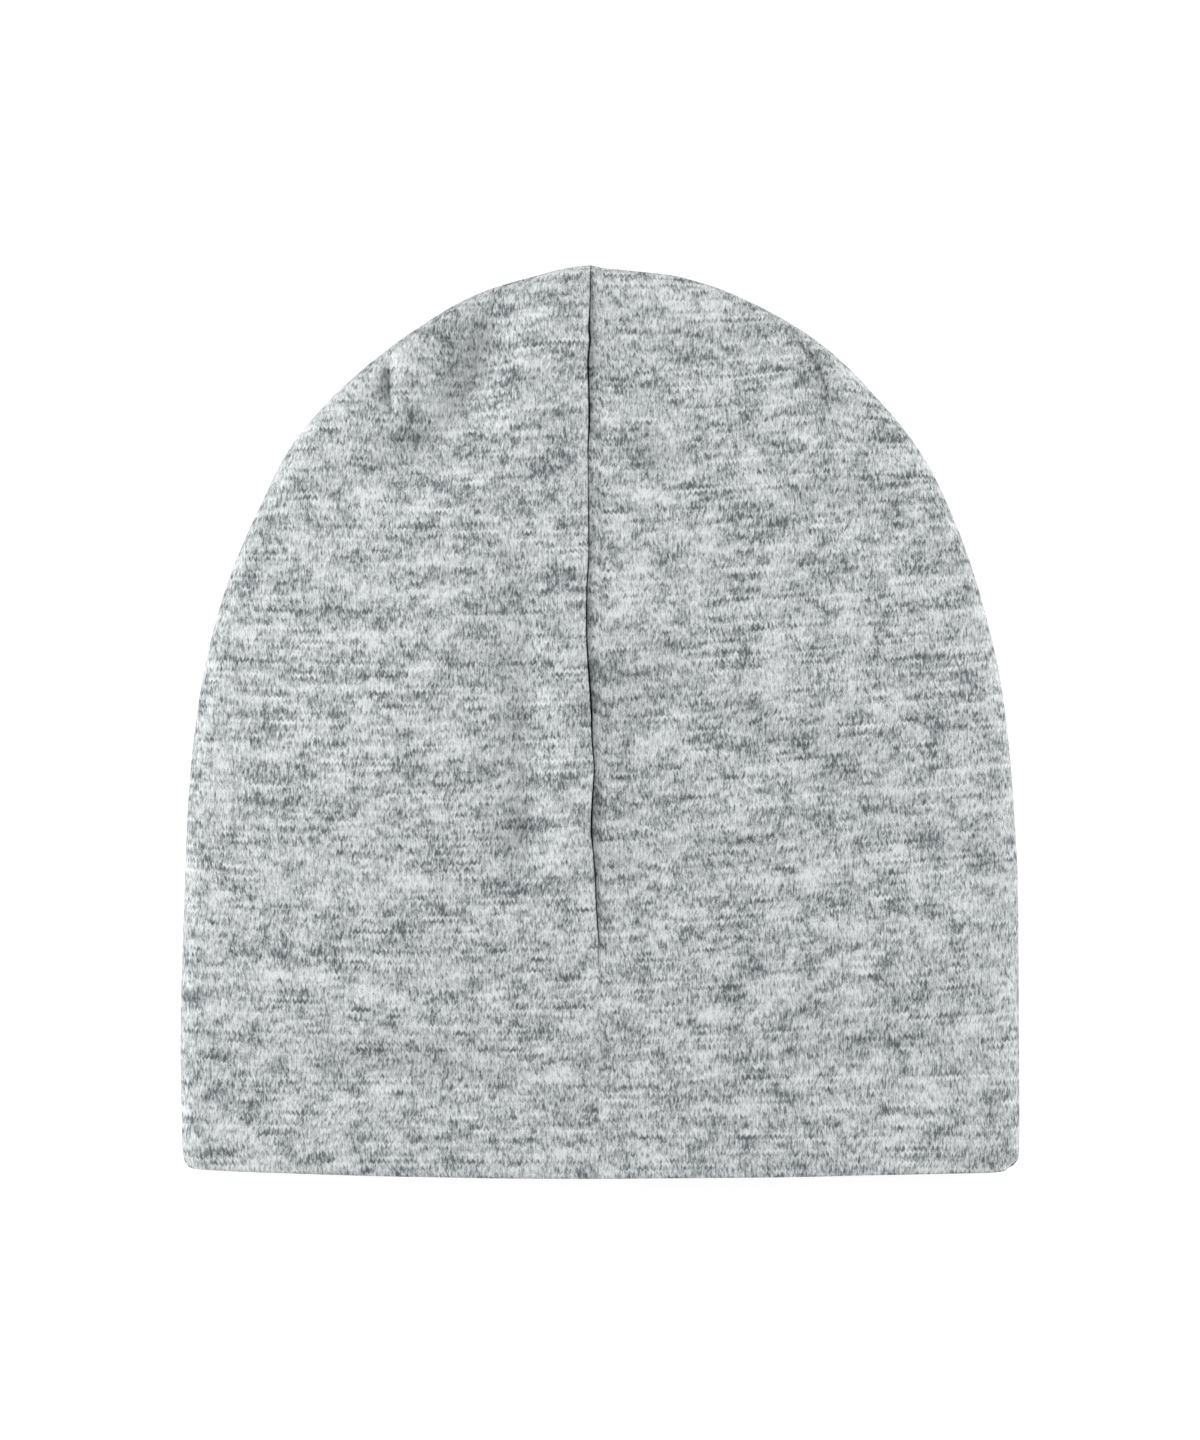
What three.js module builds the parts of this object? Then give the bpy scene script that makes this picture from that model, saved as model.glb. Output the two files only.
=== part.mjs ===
// A slouchy jersey beanie, lying flat on a table on its back, a little puffed up by the air inside it.
// A left and a right panel of doubled heather jersey meet in a centre seam on the front and on the back.
// Each panel wraps round its side fold, and its doubled cloth is turned over at the hem, where the mouth is open.
//
// Millimetres. +Z is up, +Y runs from the hem to the crown point, and +X is to the right seen from above.
// The origin is on the table under the middle of the beanie.

import * as THREE from "three";

// Driving dimensions.
const BODY_WIDTH = 240; // over the two side folds
const BODY_LENGTH = 260; // from the hem's edge to the crown point
const WALL = 2.6; // two plies of jersey
const HOLLOW_HEIGHT = 20; // inside height at the fullest place
const MOUTH_HEIGHT = 12.5; // inside height in the middle of the hem
const FOLD_INSIDE_RADIUS = 3.6; // of the soft fold round the sides and the crown
const SEAM_GAP = 0.3; // between the sewn edges of the two panels
const DITCH_DEPTH = 1.5; // how far the cloth dips into the front seam
const BACK_DITCH_DEPTH = 0.9; // and into the back seam, which lies pressed on the table
const DITCH_WIDTH = 2.6; // from the seam to where the cloth is level again
const ALLOWANCE_WIDTH = 12; // seam allowance, pressed under the left panel
const ALLOWANCE_RISE = 0.9; // how far it lifts the cloth over it
const HEM_SET_BACK_LEFT = 1.8; // how far the hem's left corner stands back from its middle
const HEM_SET_BACK_RIGHT = 0.7; // and its right corner
const FOLD_RISE = 2.4; // height of the largest crease or dent on the front
const TOUCH_WIDTH = 28; // of a place where the back touches the table
const BACK_CLEARANCE = 0.2; // between the table and the back around those places

// The silhouette seen from above: shares of the length from the hem, and of half the width.
const OUTLINE = [
  { along: 0, left: 0.984, right: 0.972 },
  { along: 0.004, left: 0.99, right: 0.987 },
  { along: 0.01, left: 0.994, right: 0.997 },
  { along: 0.03, left: 0.996, right: 1 },
  { along: 0.14, left: 1, right: 0.999 },
  { along: 0.3, left: 0.991, right: 0.997 },
  { along: 0.412, left: 0.981, right: 0.985 },
  { along: 0.522, left: 0.955, right: 0.961 },
  { along: 0.632, left: 0.9, right: 0.909 },
  { along: 0.742, left: 0.802, right: 0.823 },
  { along: 0.797, left: 0.741, right: 0.759 },
  { along: 0.852, left: 0.643, right: 0.663 },
  { along: 0.907, left: 0.507, right: 0.543 },
  { along: 0.935, left: 0.421, right: 0.457 },
  { along: 0.963, left: 0.319, right: 0.343 },
  { along: 0.976, left: 0.25, right: 0.276 },
  { along: 0.985, left: 0.183, right: 0.212 },
  { along: 0.9895, left: 0.145, right: 0.168 },
  { along: 0.9935, left: 0.114, right: 0.09 },
  { along: 0.998, left: 0.069, right: 0 },
  { along: 1, left: 0.03, right: -0.018 },
];

// The centre seam: its place across, as a share of half the width, and how much of the full ditch and of the
// pressed allowance shows there. It is pressed flat towards the hem.
const SEAM = [
  { along: 0, across: -0.003, ditch: 0.1, allowance: 0 },
  { along: 0.23, across: -0.003, ditch: 0.15, allowance: 0.1 },
  { along: 0.27, across: -0.006, ditch: 0.5, allowance: 0.4 },
  { along: 0.33, across: -0.0115, ditch: 0.8, allowance: 0.7 },
  { along: 0.38, across: -0.0205, ditch: 0.9, allowance: 0.9 },
  { along: 0.445, across: -0.0135, ditch: 0.8, allowance: 1 },
  { along: 0.51, across: -0.0205, ditch: 1, allowance: 1 },
  { along: 0.6, across: -0.0315, ditch: 0.8, allowance: 0.9 },
  { along: 0.74, across: -0.0275, ditch: 0.7, allowance: 0.6 },
  { along: 0.825, across: -0.0253, ditch: 0.9, allowance: 0.6 },
  { along: 0.924, across: -0.0246, ditch: 1, allowance: 0.7 },
  { along: 1, across: -0.0222, ditch: 0.8, allowance: 0.2 },
];

// How full the hollow is above the folds, from the mouth to the crown. The mouth's own share comes from its height.
const FILL = [
  { along: 0.12, fill: 0.58 },
  { along: 0.3, fill: 0.88 },
  { along: 0.48, fill: 1 },
  { along: 0.7, fill: 1 },
  { along: 1, fill: 0.94 },
];

// Creases and dents of the front. Places are shares of the length and of half the width, sizes are shares of
// half the width, the turn is in degrees from across, and the rise is a share of the largest one.
const CREASES = [
  { name: "left dart ridge", along: 0.912, across: -0.42, long: 0.09, wide: 0.04, turn: 38, rise: 0.45 },
  { name: "left dart pucker", along: 0.862, across: -0.5, long: 0.07, wide: 0.045, turn: 80, rise: -0.8 },
  { name: "left shoulder bulge", along: 0.85, across: -0.39, long: 0.16, wide: 0.08, turn: 66, rise: 0.9 },
  { name: "left shoulder valley", along: 0.87, across: -0.26, long: 0.18, wide: 0.065, turn: 84, rise: -0.95 },
  { name: "left shoulder dent", along: 0.768, across: -0.48, long: 0.17, wide: 0.07, turn: 8, rise: -0.7 },
  { name: "left seam ridge", along: 0.88, across: -0.1, long: 0.2, wide: 0.06, turn: 90, rise: 0.4 },
  { name: "right dart ditch", along: 0.905, across: 0.47, long: 0.13, wide: 0.04, turn: -52, rise: -0.6 },
  { name: "right dart pucker", along: 0.858, across: 0.54, long: 0.06, wide: 0.045, turn: -60, rise: -0.6 },
  { name: "right dart ridge", along: 0.87, across: 0.6, long: 0.12, wide: 0.05, turn: -52, rise: 0.4 },
  { name: "right crown roll", along: 0.9, across: 0.22, long: 0.26, wide: 0.12, turn: -38, rise: 0.3 },
  { name: "right seam valley", along: 0.46, across: 0.06, long: 0.26, wide: 0.055, turn: 88, rise: -0.5 },
  { name: "left allowance edge", along: 0.47, across: -0.17, long: 0.3, wide: 0.055, turn: 90, rise: -0.45 },
  { name: "right body roll", along: 0.42, across: 0.4, long: 0.5, wide: 0.16, turn: 70, rise: 0.4 },
  { name: "right body dip", along: 0.5, across: 0.68, long: 0.4, wide: 0.12, turn: 78, rise: -0.35 },
  { name: "left body roll", along: 0.4, across: -0.5, long: 0.45, wide: 0.16, turn: 100, rise: 0.35 },
  { name: "left hem dip", along: 0.14, across: -0.36, long: 0.3, wide: 0.12, turn: 20, rise: -0.3 },
];

// The thicker places of the back, where it touches the table: at the hem and near the seams of the crown.
const TOUCHES = [
  { name: "hem at the side", along: 0.024, across: 0.8 },
  { name: "hem at the seam", along: 0.024, across: 0.18 },
  { name: "shoulder", along: 0.66, across: 0.74 },
  { name: "crown at the seam", along: 0.93, across: 0.1 },
];

// Mesh steps.
const LENGTH_STEPS = 34;
const MIDDLE_STEPS = { front: 8, back: 5 };
const FOLD_STEPS = { front: 5, back: 4 };
const SEAM_STATIONS = { front: [0, 0.4, 0.9, 1.7, 3, 4.6, 6.3, 8], back: [0, 0.5, 1] }; // in ditch widths
const HEM_STEPS = 3;
const OUTLINE_SAMPLES = 180;

const HALF_WIDTH = BODY_WIDTH / 2;
const HEM_ROUND = WALL / 2;
const FOLD_RADIUS = FOLD_INSIDE_RADIUS + WALL; // outside, and so the height of the fold's outermost line
const CROWN_WALL = 1.05 * WALL; // measured along the seam, where the two sides of the crown lean together
const FOLD_HOLLOW = 2 * FOLD_INSIDE_RADIUS;

// A smooth curve through a table's column that never overshoots its rows.
function curveThrough(rows, at, column) {
  const x = rows.map(at);
  const y = rows.map((row) => row[column]);
  const slope = x.slice(1).map((value, i) => (y[i + 1] - y[i]) / (value - x[i]));
  const tangent = y.map((_, i) => {
    if (i === 0) return slope[0];
    if (i === y.length - 1) return slope[i - 1];
    if (slope[i - 1] * slope[i] <= 0) return 0;
    return (2 * slope[i - 1] * slope[i]) / (slope[i - 1] + slope[i]);
  });
  return (value) => {
    const clamped = THREE.MathUtils.clamp(value, x[0], x[x.length - 1]);
    let i = 0;
    while (i < x.length - 2 && clamped > x[i + 1]) i += 1;
    const span = x[i + 1] - x[i];
    const s = (clamped - x[i]) / span;
    return (
      y[i] * (1 + 2 * s) * (1 - s) ** 2 +
      tangent[i] * span * s * (1 - s) ** 2 +
      y[i + 1] * s * s * (3 - 2 * s) +
      tangent[i + 1] * span * s * s * (s - 1)
    );
  };
}

// Rings crowd towards the crown point, so that their ends are evenly spaced round the outline.
const CROWDING = 1.7;
const ringOf = (along) => 1 - Math.max(0, 1 - along) ** (1 / CROWDING);
const alongOf = (ring) => 1 - (1 - ring) ** CROWDING;
const lengthAt = (along) => -BODY_LENGTH / 2 + HEM_ROUND + (BODY_LENGTH - HEM_ROUND) * along;
const alongAt = (y) => (y + BODY_LENGTH / 2 - HEM_ROUND) / (BODY_LENGTH - HEM_ROUND);

const outlineShare = {
  [-1]: curveThrough(OUTLINE, (row) => ringOf(row.along), "left"),
  [1]: curveThrough(OUTLINE, (row) => ringOf(row.along), "right"),
};
const alongOfRow = (row) => row.along;
const seamAcross = curveThrough(SEAM, alongOfRow, "across");
const ditchShare = curveThrough(SEAM, alongOfRow, "ditch");
const allowanceShare = curveThrough(SEAM, alongOfRow, "allowance");
const mouthFill = (MOUTH_HEIGHT - FOLD_HOLLOW) / (HOLLOW_HEIGHT - FOLD_HOLLOW);
const fillShare = curveThrough([{ along: 0, fill: mouthFill }, ...FILL], alongOfRow, "fill");

// The point of the silhouette where a ring ends, on the left (side -1) or the right (side 1).
function outlinePoint(side, ring) {
  const x = side * HALF_WIDTH * outlineShare[side](ring);
  return new THREE.Vector2(x, lengthAt(alongOf(ring)));
}

// The outward direction of the silhouette there.
function outlineNormal(side, ring) {
  const step = 0.004;
  const before = outlinePoint(side, Math.max(0, ring - step));
  const after = outlinePoint(side, Math.min(1, ring + step));
  const along = after.sub(before).normalize();
  return new THREE.Vector2(side * along.y, -side * along.x);
}

const outline = [-1, 1].map((side) =>
  Array.from({ length: OUTLINE_SAMPLES + 1 }, (_, i) => outlinePoint(side, i / OUTLINE_SAMPLES)),
);

// How far a place is inside the silhouette. The hem is open, so it doesn't count.
function depthInside(x, y) {
  let nearest = Infinity;
  for (const points of outline) {
    for (let i = 1; i < points.length; i += 1) {
      const a = points[i - 1];
      const b = points[i];
      const spanX = b.x - a.x;
      const spanY = b.y - a.y;
      const share = ((x - a.x) * spanX + (y - a.y) * spanY) / (spanX ** 2 + spanY ** 2);
      const s = THREE.MathUtils.clamp(share, 0, 1);
      nearest = Math.min(nearest, Math.hypot(x - a.x - s * spanX, y - a.y - s * spanY));
    }
  }
  return nearest;
}

const seamX = (y) => HALF_WIDTH * seamAcross(alongAt(y));

// All the creases at a place of the front.
function creaseRise(x, y) {
  let rise = 0;
  for (const crease of CREASES) {
    const turn = THREE.MathUtils.degToRad(crease.turn);
    const dx = x / HALF_WIDTH - crease.across;
    const dy = ((alongAt(y) - crease.along) * BODY_LENGTH) / HALF_WIDTH;
    const lengthwise = (dx * Math.cos(turn) + dy * Math.sin(turn)) / crease.long;
    const crosswise = (dy * Math.cos(turn) - dx * Math.sin(turn)) / crease.wide;
    rise += crease.rise * Math.exp(-(lengthwise ** 2) - crosswise ** 2);
  }
  return FOLD_RISE * rise;
}

// How far the back clears the table.
function backClearance(x, y) {
  let touch = 0;
  for (const place of TOUCHES) {
    const dx = Math.abs(x) - place.across * HALF_WIDTH;
    const dy = (alongAt(y) - place.along) * BODY_LENGTH;
    const inside = Math.max(0, 1 - (dx ** 2 + dy ** 2) / (TOUCH_WIDTH / 2) ** 2);
    touch = Math.max(touch, inside ** 2);
  }
  return BACK_CLEARANCE * (1 - touch);
}

// The dip into a seam, and the lift over the allowance pressed to its left.
function seamRelief(face, x, y) {
  const along = alongAt(y);
  const off = x - seamX(y);
  const ditch = Math.max(0, 1 - (off / DITCH_WIDTH) ** 2) ** 2;
  if (face === "back") return -BACK_DITCH_DEPTH * ditch;
  const edge = THREE.MathUtils.smoothstep(-off, 0, DITCH_WIDTH);
  const end = 1 - THREE.MathUtils.smoothstep(-off, ALLOWANCE_WIDTH * 0.8, ALLOWANCE_WIDTH * 1.3);
  return ALLOWANCE_RISE * allowanceShare(along) * edge * end - DITCH_DEPTH * ditchShare(along) * ditch;
}

// The height of the cloth above a place. The fold is a half round, and the front is puffed up inside it, in an
// arch from the seam (across 0) to the side (across 1) that comes down towards the crown.
function clothHeight(face, layer, x, y, depth, across) {
  const radius = layer === "outside" ? FOLD_RADIUS : FOLD_INSIDE_RADIUS;
  const inFold = Math.max(0, FOLD_RADIUS - depth) / radius;
  const share = Math.sqrt(Math.max(0, 1 - inFold ** 2));
  const relief = layer === "outside" ? seamRelief(face, x, y) * share : 0;
  if (face === "back") {
    const clearance = layer === "outside" ? backClearance(x, y) * share : 0;
    return FOLD_RADIUS - radius * share - relief + clearance;
  }
  const fromCrown = Math.min(1, ((1 - alongAt(y)) * BODY_LENGTH) / HALF_WIDTH);
  const arch = fromCrown * (2 - fromCrown) * (1 - across ** 2);
  const puff = (HOLLOW_HEIGHT - FOLD_HOLLOW) * fillShare(alongAt(y)) * arch;
  return FOLD_RADIUS + (radius + puff + creaseRise(x, y)) * share + relief;
}

// Places from the seam to the outline, in millimetres from the seam: close at the ditch and in the fold.
function stationsAcross(face, halfWidth, lean) {
  const shrink = Math.min(1, halfWidth / (HALF_WIDTH / 2));
  const nearSeam = SEAM_STATIONS[face].map((share) => share * DITCH_WIDTH * shrink);
  const count = FOLD_STEPS[face];
  const inFold = Array.from({ length: count }, (_, i) => {
    const turn = (Math.PI / 2) * (1 - (i + 1) / count);
    return halfWidth - (FOLD_RADIUS * (1 - Math.cos(turn)) * shrink) / Math.max(lean, 0.4);
  });
  const from = nearSeam[nearSeam.length - 1];
  const steps = MIDDLE_STEPS[face];
  const between = Array.from({ length: steps }, (_, i) => from + ((inFold[0] - from) * (i + 1)) / (steps + 1));
  return [...nearSeam, ...between, ...inFold].map((distance) => distance / halfWidth);
}

// One ring of one layer: points from the front seam over the front, round the side fold and under the back.
function ringPoints(side, layer, ring) {
  const inside = layer === "inside";
  const normal = outlineNormal(side, ring);
  const edge = outlinePoint(side, ring);
  const halfWidth = Math.abs(edge.x - seamX(edge.y));
  const reach = lengthAt(alongOf(ring)) - (inside ? CROWN_WALL * alongOf(ring) : 0);
  if (inside) edge.addScaledVector(normal, -WALL);
  const start = new THREE.Vector2(seamX(reach) + (side * SEAM_GAP) / 2, reach);
  if (ring === 1) return { pole: new THREE.Vector3(start.x, reach, FOLD_RADIUS) };
  const pointOn = (face, share) => {
    const x = THREE.MathUtils.lerp(start.x, edge.x, share);
    const y = THREE.MathUtils.lerp(start.y, edge.y, share);
    const least = inside ? WALL : 0;
    const depth = share === 1 ? least : Math.max(least, depthInside(x, y));
    const nearHem = Math.max(0, 1 - alongAt(y) / 0.12);
    const cornerSetBack = side === 1 ? HEM_SET_BACK_RIGHT : HEM_SET_BACK_LEFT;
    const setBack = cornerSetBack * Math.abs(x / HALF_WIDTH) ** 2.5 * nearHem;
    return new THREE.Vector3(x, y + setBack, clothHeight(face, layer, x, y, depth, share));
  };
  const lean = Math.abs(normal.x);
  const front = stationsAcross("front", halfWidth, lean).map((share) => pointOn("front", share));
  const back = stationsAcross("back", halfWidth, lean).map((share) => pointOn("back", share));
  back.pop();
  return { points: [...front, ...back.reverse()] };
}

// The rounded edge of the hem, from the outside to the inside layer.
function hemRows(outside, inside) {
  return Array.from({ length: HEM_STEPS - 1 }, (_, i) => {
    const turn = (Math.PI * (i + 1)) / HEM_STEPS;
    return outside.map((outer, j) => {
      const middle = outer.clone().add(inside[j]).multiplyScalar(0.5);
      const point = middle.clone().addScaledVector(outer.clone().sub(middle), Math.cos(turn));
      point.y -= HEM_ROUND * Math.sin(turn);
      return point;
    });
  });
}

// A panel as one closed body. Its section is a strip that runs up the outside, over nothing at the crown, where
// the ring shrinks to a point, and down the inside; the hem's rows close it below and the seam's edges close it.
function panelGeometry(side) {
  const rings = [0, 0.004, 0.014];
  for (let i = 1; i <= LENGTH_STEPS; i += 1) rings.push(i / LENGTH_STEPS);
  const layers = ["outside", "inside"].map((layer) => rings.map((ring) => ringPoints(side, layer, ring)));
  const [outside, inside] = layers.map((layer) => layer.slice(0, -1).map((ring) => ring.points));
  const [outerPole, innerPole] = layers.map((layer) => layer[layer.length - 1].pole);
  const hem = hemRows(outside[0], inside[0]);

  // Every row in order: down the outside from the crown, round the hem and up the inside.
  const rows = [...outside.toReversed(), ...hem, ...inside];
  const width = rows[0].length;
  const vertices = [...rows.flat(), outerPole, innerPole];
  const at = (row, column) => row * width + column;
  const [outerTip, innerTip] = [rows.length * width, rows.length * width + 1];
  const faces = [];
  const addQuad = (a, b, c, d) => {
    const short = vertices[a].distanceTo(vertices[c]) <= vertices[b].distanceTo(vertices[d]);
    faces.push(...(short ? [[a, b, c], [a, c, d]] : [[a, b, d], [b, c, d]]));
  };
  for (let row = 1; row < rows.length; row += 1) {
    for (let column = 1; column < width; column += 1) {
      addQuad(at(row - 1, column - 1), at(row, column - 1), at(row, column), at(row - 1, column));
    }
  }
  for (let column = 1; column < width; column += 1) {
    faces.push([outerTip, at(0, column - 1), at(0, column)]);
    faces.push([innerTip, at(rows.length - 1, column), at(rows.length - 1, column - 1)]);
  }
  closeSeamEdge(0, false);
  closeSeamEdge(width - 1, true);

  // The sewn edge is a strip between the outside row and the inside row that lie over each other.
  function closeSeamEdge(column, turned) {
    const last = rows.length - 1;
    const middle = Math.floor(rows.length / 2);
    const strip = [[outerTip, at(0, column), at(last, column), innerTip]];
    for (let row = 1; row < middle; row += 1) {
      strip.push([at(row - 1, column), at(row, column), at(last - row, column), at(last - row + 1, column)]);
    }
    for (const [a, b, c, d] of strip) {
      faces.push(...(turned ? [[a, b, c], [a, c, d]] : [[a, c, b], [a, d, c]]));
    }
    if (rows.length % 2 === 1) {
      const end = [at(middle - 1, column), at(middle, column), at(middle + 1, column)];
      faces.push(turned ? end : end.toReversed());
    }
  }

  const index = faces.flatMap((face) => (side === 1 ? face : face.toReversed()));
  const geometry = new THREE.BufferGeometry();
  geometry.setAttribute("position", new THREE.Float32BufferAttribute(vertices.flatMap((v) => v.toArray()), 3));
  geometry.setIndex(index);
  geometry.computeVertexNormals();
  return geometry;
}

function makePanel(name, side) {
  const jersey = new THREE.MeshStandardMaterial({ color: 0xb6babb, roughness: 0.95, metalness: 0 });
  const panel = new THREE.Mesh(panelGeometry(side), jersey);
  panel.name = name;
  return panel;
}

const beanie = new THREE.Group();
beanie.add(makePanel("left_panel", -1));
beanie.add(makePanel("right_panel", 1));

// The middle of the whole goes over the origin, and its lowest point onto the table.
const box = new THREE.Box3().setFromObject(beanie);
const middle = box.getCenter(new THREE.Vector3());
beanie.children.forEach((panel) => panel.position.set(-middle.x, -middle.y, -box.min.z));

export default beanie;
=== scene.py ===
import math

import bpy
import numpy as np
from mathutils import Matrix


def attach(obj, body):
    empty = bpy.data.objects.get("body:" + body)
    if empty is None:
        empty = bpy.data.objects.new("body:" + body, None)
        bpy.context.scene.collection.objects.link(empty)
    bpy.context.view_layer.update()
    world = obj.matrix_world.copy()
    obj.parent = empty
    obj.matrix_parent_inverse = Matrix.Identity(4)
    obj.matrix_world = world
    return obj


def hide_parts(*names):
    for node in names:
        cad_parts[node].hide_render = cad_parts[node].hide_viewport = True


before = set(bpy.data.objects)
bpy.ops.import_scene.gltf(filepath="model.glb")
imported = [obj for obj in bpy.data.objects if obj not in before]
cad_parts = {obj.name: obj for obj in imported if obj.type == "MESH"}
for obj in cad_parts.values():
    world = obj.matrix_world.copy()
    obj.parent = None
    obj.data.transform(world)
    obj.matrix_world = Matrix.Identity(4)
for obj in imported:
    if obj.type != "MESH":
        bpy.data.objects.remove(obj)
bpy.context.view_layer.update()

scene = bpy.context.scene


# The left panel: two plies of soft, light grey heather jersey. It is cut in one piece that runs from the front
# seam round the left side to the back seam, with a dart at the shoulder. The cloth is turned over at the hem, and
# the seam allowance of the front seam is pressed under this side.
BODY_WIDTH = 0.240  # over the two side folds
BODY_LENGTH = 0.260  # from the hem's edge to the crown point
HALF_WIDTH = BODY_WIDTH / 2
WALL = 0.0026  # two plies of jersey
CROWN_WALL = 1.05 * WALL  # at the crown point
HOLLOW_HEIGHT = 0.020  # inside height at the fullest place
MOUTH_HEIGHT = 0.0125  # inside height in the middle of the hem
FOLD_INSIDE_RADIUS = 0.0036  # of the soft fold round the sides and the crown
FOLD_RADIUS = FOLD_INSIDE_RADIUS + WALL
FOLD_HOLLOW = 2 * FOLD_INSIDE_RADIUS
HEM_ROUND = WALL / 2  # radius of the turned edge
HEM_SET_BACK = {-1: 0.0018, 1: 0.0007}  # how far its corners stand back from its middle, on the left and the right
HEM_CORNER = 0.12  # share of the length over which they do
SEAM_GAP = 0.00001  # between the sewn edges of the two panels
DITCH_GAP = 0.0005  # more between them where the ditch on the front is deepest
DITCH_DEPTH = 0.0032  # how far the cloth rolls down into the front seam
LEFT_LIP = 0.0022  # width of that roll on the left
RIGHT_LIP = 0.0024  # and on the right
RIGHT_OPENING = 0.0034  # how much wider it is where the seam opens
DITCH_SIDE_DEPTH = 0.0003  # of the slight dip beside the roll
DITCH_SIDE_WIDTH = 0.004
SEAM_SINK = 0.002  # how far the inside follows the ditch
SEAM_SINK_WIDTH = 0.003
BACK_SEAM_SHIFT = 0.0011  # how far the back seam lies to the left of the front one
BACK_DITCH_DEPTH = 0.0009
BACK_DITCH_WIDTH = 0.0026
ALLOWANCE_WIDTH = 0.012  # of the seam allowance, pressed under the left panel
ALLOWANCE_RISE = 0.002  # how far it lifts the cloth over it
ALLOWANCE_ROLL = 0.0022  # from the seam to where it is lifted in full
ALLOWANCE_END = (0.8, 1.3)  # shares of its width between which the lift ends
FOLD_RISE = 0.0047  # height of a crease or dent of rise 1
TUCK_ROUND = 0.0003  # radius at the bottom of a tuck
TUCK_ARCH = (0.2, 0.6)  # where on half a wave its depth starts, and how much of the wave it follows
TOUCH_WIDTH = 0.028  # of a place where the back touches the table
BACK_CLEARANCE = 0.0002  # between the table and the back around those places

# The silhouette from above: shares of the length from the hem, and of half the width on the left and the right.
OUTLINE = np.array([
    (0, 0.984, 0.972), (0.004, 0.99, 0.987), (0.01, 0.994, 0.997), (0.03, 0.996, 1), (0.14, 1, 0.999),
    (0.3, 0.991, 0.997), (0.412, 0.981, 0.985), (0.522, 0.955, 0.961), (0.632, 0.9, 0.909),
    (0.742, 0.802, 0.823), (0.797, 0.741, 0.759), (0.852, 0.643, 0.663), (0.907, 0.507, 0.543),
    (0.935, 0.421, 0.457), (0.963, 0.319, 0.343), (0.976, 0.25, 0.276), (0.985, 0.183, 0.212),
    (0.9895, 0.145, 0.168), (0.9935, 0.114, 0.09), (0.998, 0.069, 0), (1, 0.03, -0.018),
])
# The centre seam: its place across, how much of the ditch shows, how wide it opens on the right, and how much
# of the pressed allowance shows. It wavers a little, as a sewn seam in soft cloth does.
SEAM = np.array([
    (0, -0.003, 0.06, 0, 0), (0.2, -0.003, 0.08, 0, 0.1), (0.235, -0.003, 0.12, 0, 0.2), (0.255, -0.003, 0.3, 0, 0.3),
    (0.28, -0.0065, 0.55, 0, 0.4), (0.3, -0.009, 0.55, 0.1, 0.5), (0.33, -0.0115, 0.7, 0.3, 0.7),
    (0.355, -0.016, 0.65, 0.5, 0.8), (0.38, -0.0205, 0.95, 0.6, 0.9), (0.41, -0.018, 0.85, 0.7, 1),
    (0.445, -0.0135, 0.6, 0.8, 1), (0.475, -0.0185, 0.75, 0.8, 1), (0.51, -0.0205, 1, 0.7, 1),
    (0.545, -0.0255, 0.9, 0.5, 1), (0.56, -0.028, 0.75, 0.3, 0.95), (0.6, -0.0315, 0.6, 0.1, 0.9),
    (0.64, -0.0305, 0.58, 0, 0.8), (0.68, -0.0262, 0.45, 0, 0.7), (0.74, -0.0275, 0.4, 0, 0.6),
    (0.77, -0.028, 0.28, 0, 0.6), (0.79, -0.0283, 0.42, 0, 0.6), (0.825, -0.0253, 0.85, 0.1, 0.7),
    (0.865, -0.0265, 0.75, 0.1, 0.8), (0.888, -0.0285, 0.9, 0.1, 0.9), (0.902, -0.0262, 0.8, 0.1, 0.9),
    (0.915, -0.0235, 1, 0.2, 0.9), (0.929, -0.0262, 1, 0.2, 0.9), (0.941, -0.0246, 0.65, 0.1, 0.8),
    (0.974, -0.0226, 0.45, 0, 0.5), (1, -0.0222, 0.4, 0, 0.2),
])
# How full the hollow is above the folds, from the mouth to the crown.
FILL = np.array([
    (0, (MOUTH_HEIGHT - FOLD_HOLLOW) / (HOLLOW_HEIGHT - FOLD_HOLLOW)), (0.12, 0.58), (0.3, 0.88), (0.48, 1),
    (0.7, 1), (1, 0.94),
])
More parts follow.
